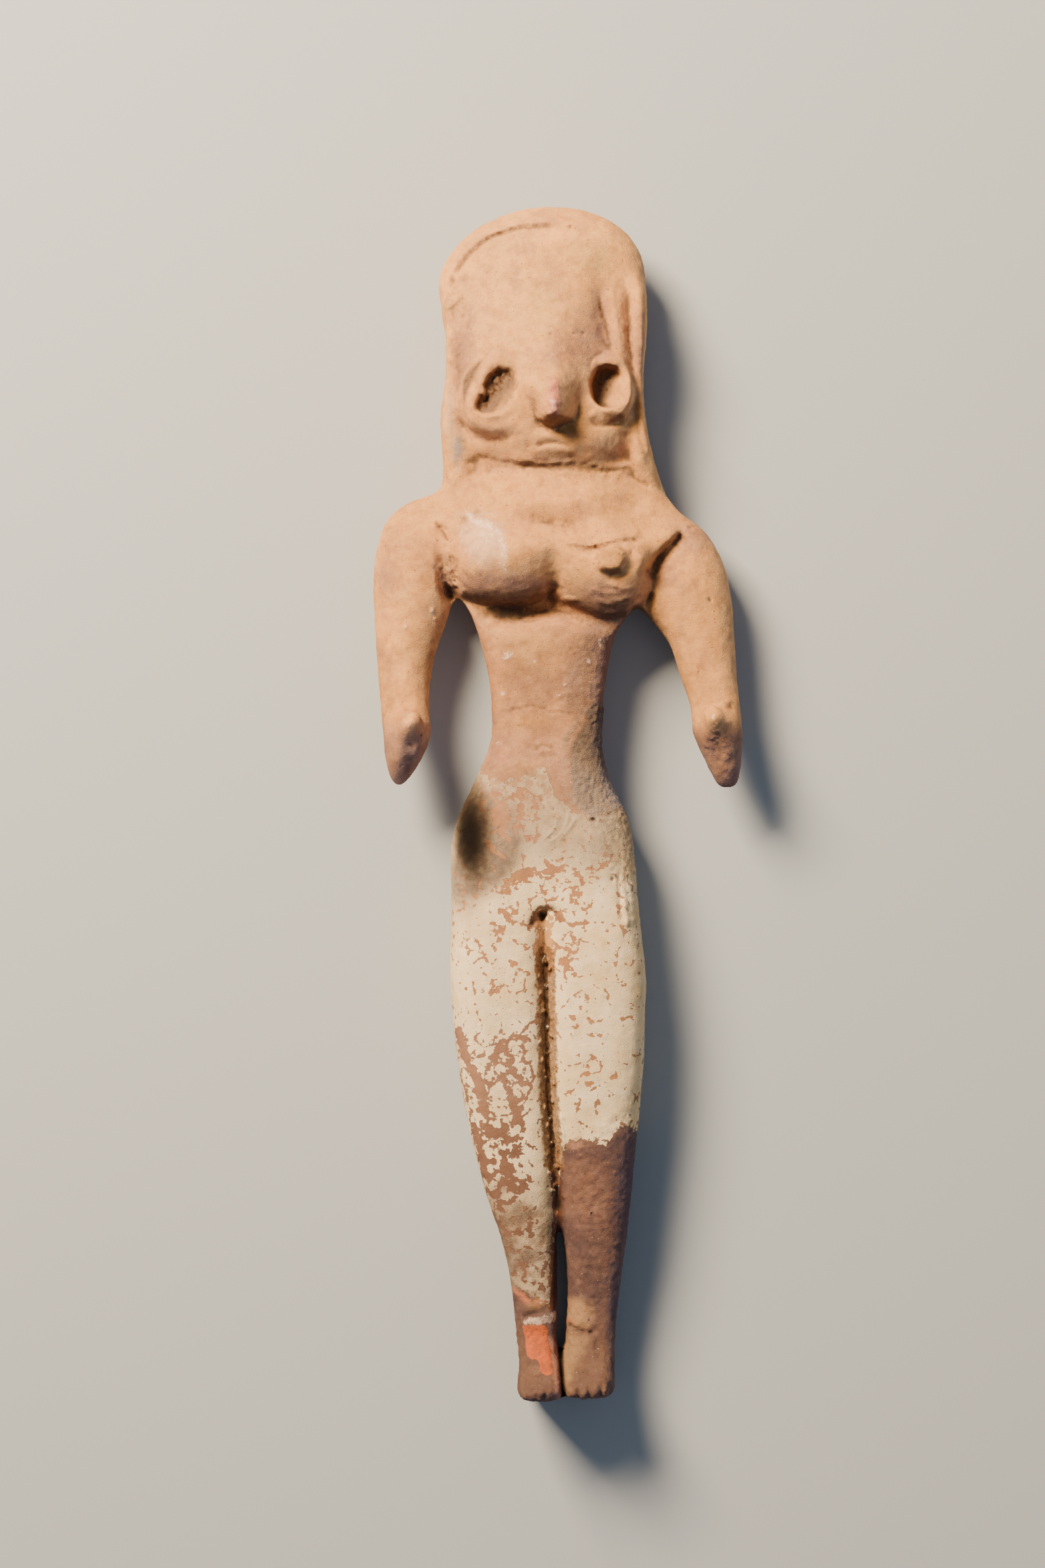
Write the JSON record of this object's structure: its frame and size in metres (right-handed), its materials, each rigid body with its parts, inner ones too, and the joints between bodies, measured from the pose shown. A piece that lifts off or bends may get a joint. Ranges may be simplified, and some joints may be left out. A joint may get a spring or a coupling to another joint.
{
  "type": "terracotta figurine",
  "caption": "Hand-modelled terracotta fertility idol lying on its back: tall head with poked eyes and pinched nose, short arms held off a narrow waist, broad hips and joined legs.",
  "frame": {"origin": "bottom centre of the bounding box: on the resting plane, under the middle of the figure's length and width", "axes": "+Y from the feet to the crown, +X to the right of someone who faces the figure, +Z out of the figure's front, up as it lies"},
  "size_m": [0.0926, 0.3, 0.0349],
  "materials": {
    "terracotta": "matte fired clay with a worn cream slip on hips and legs"
  },
  "bodies": {
    "root": {"fertility_idol": "terracotta"}
  },
  "joints": []
}
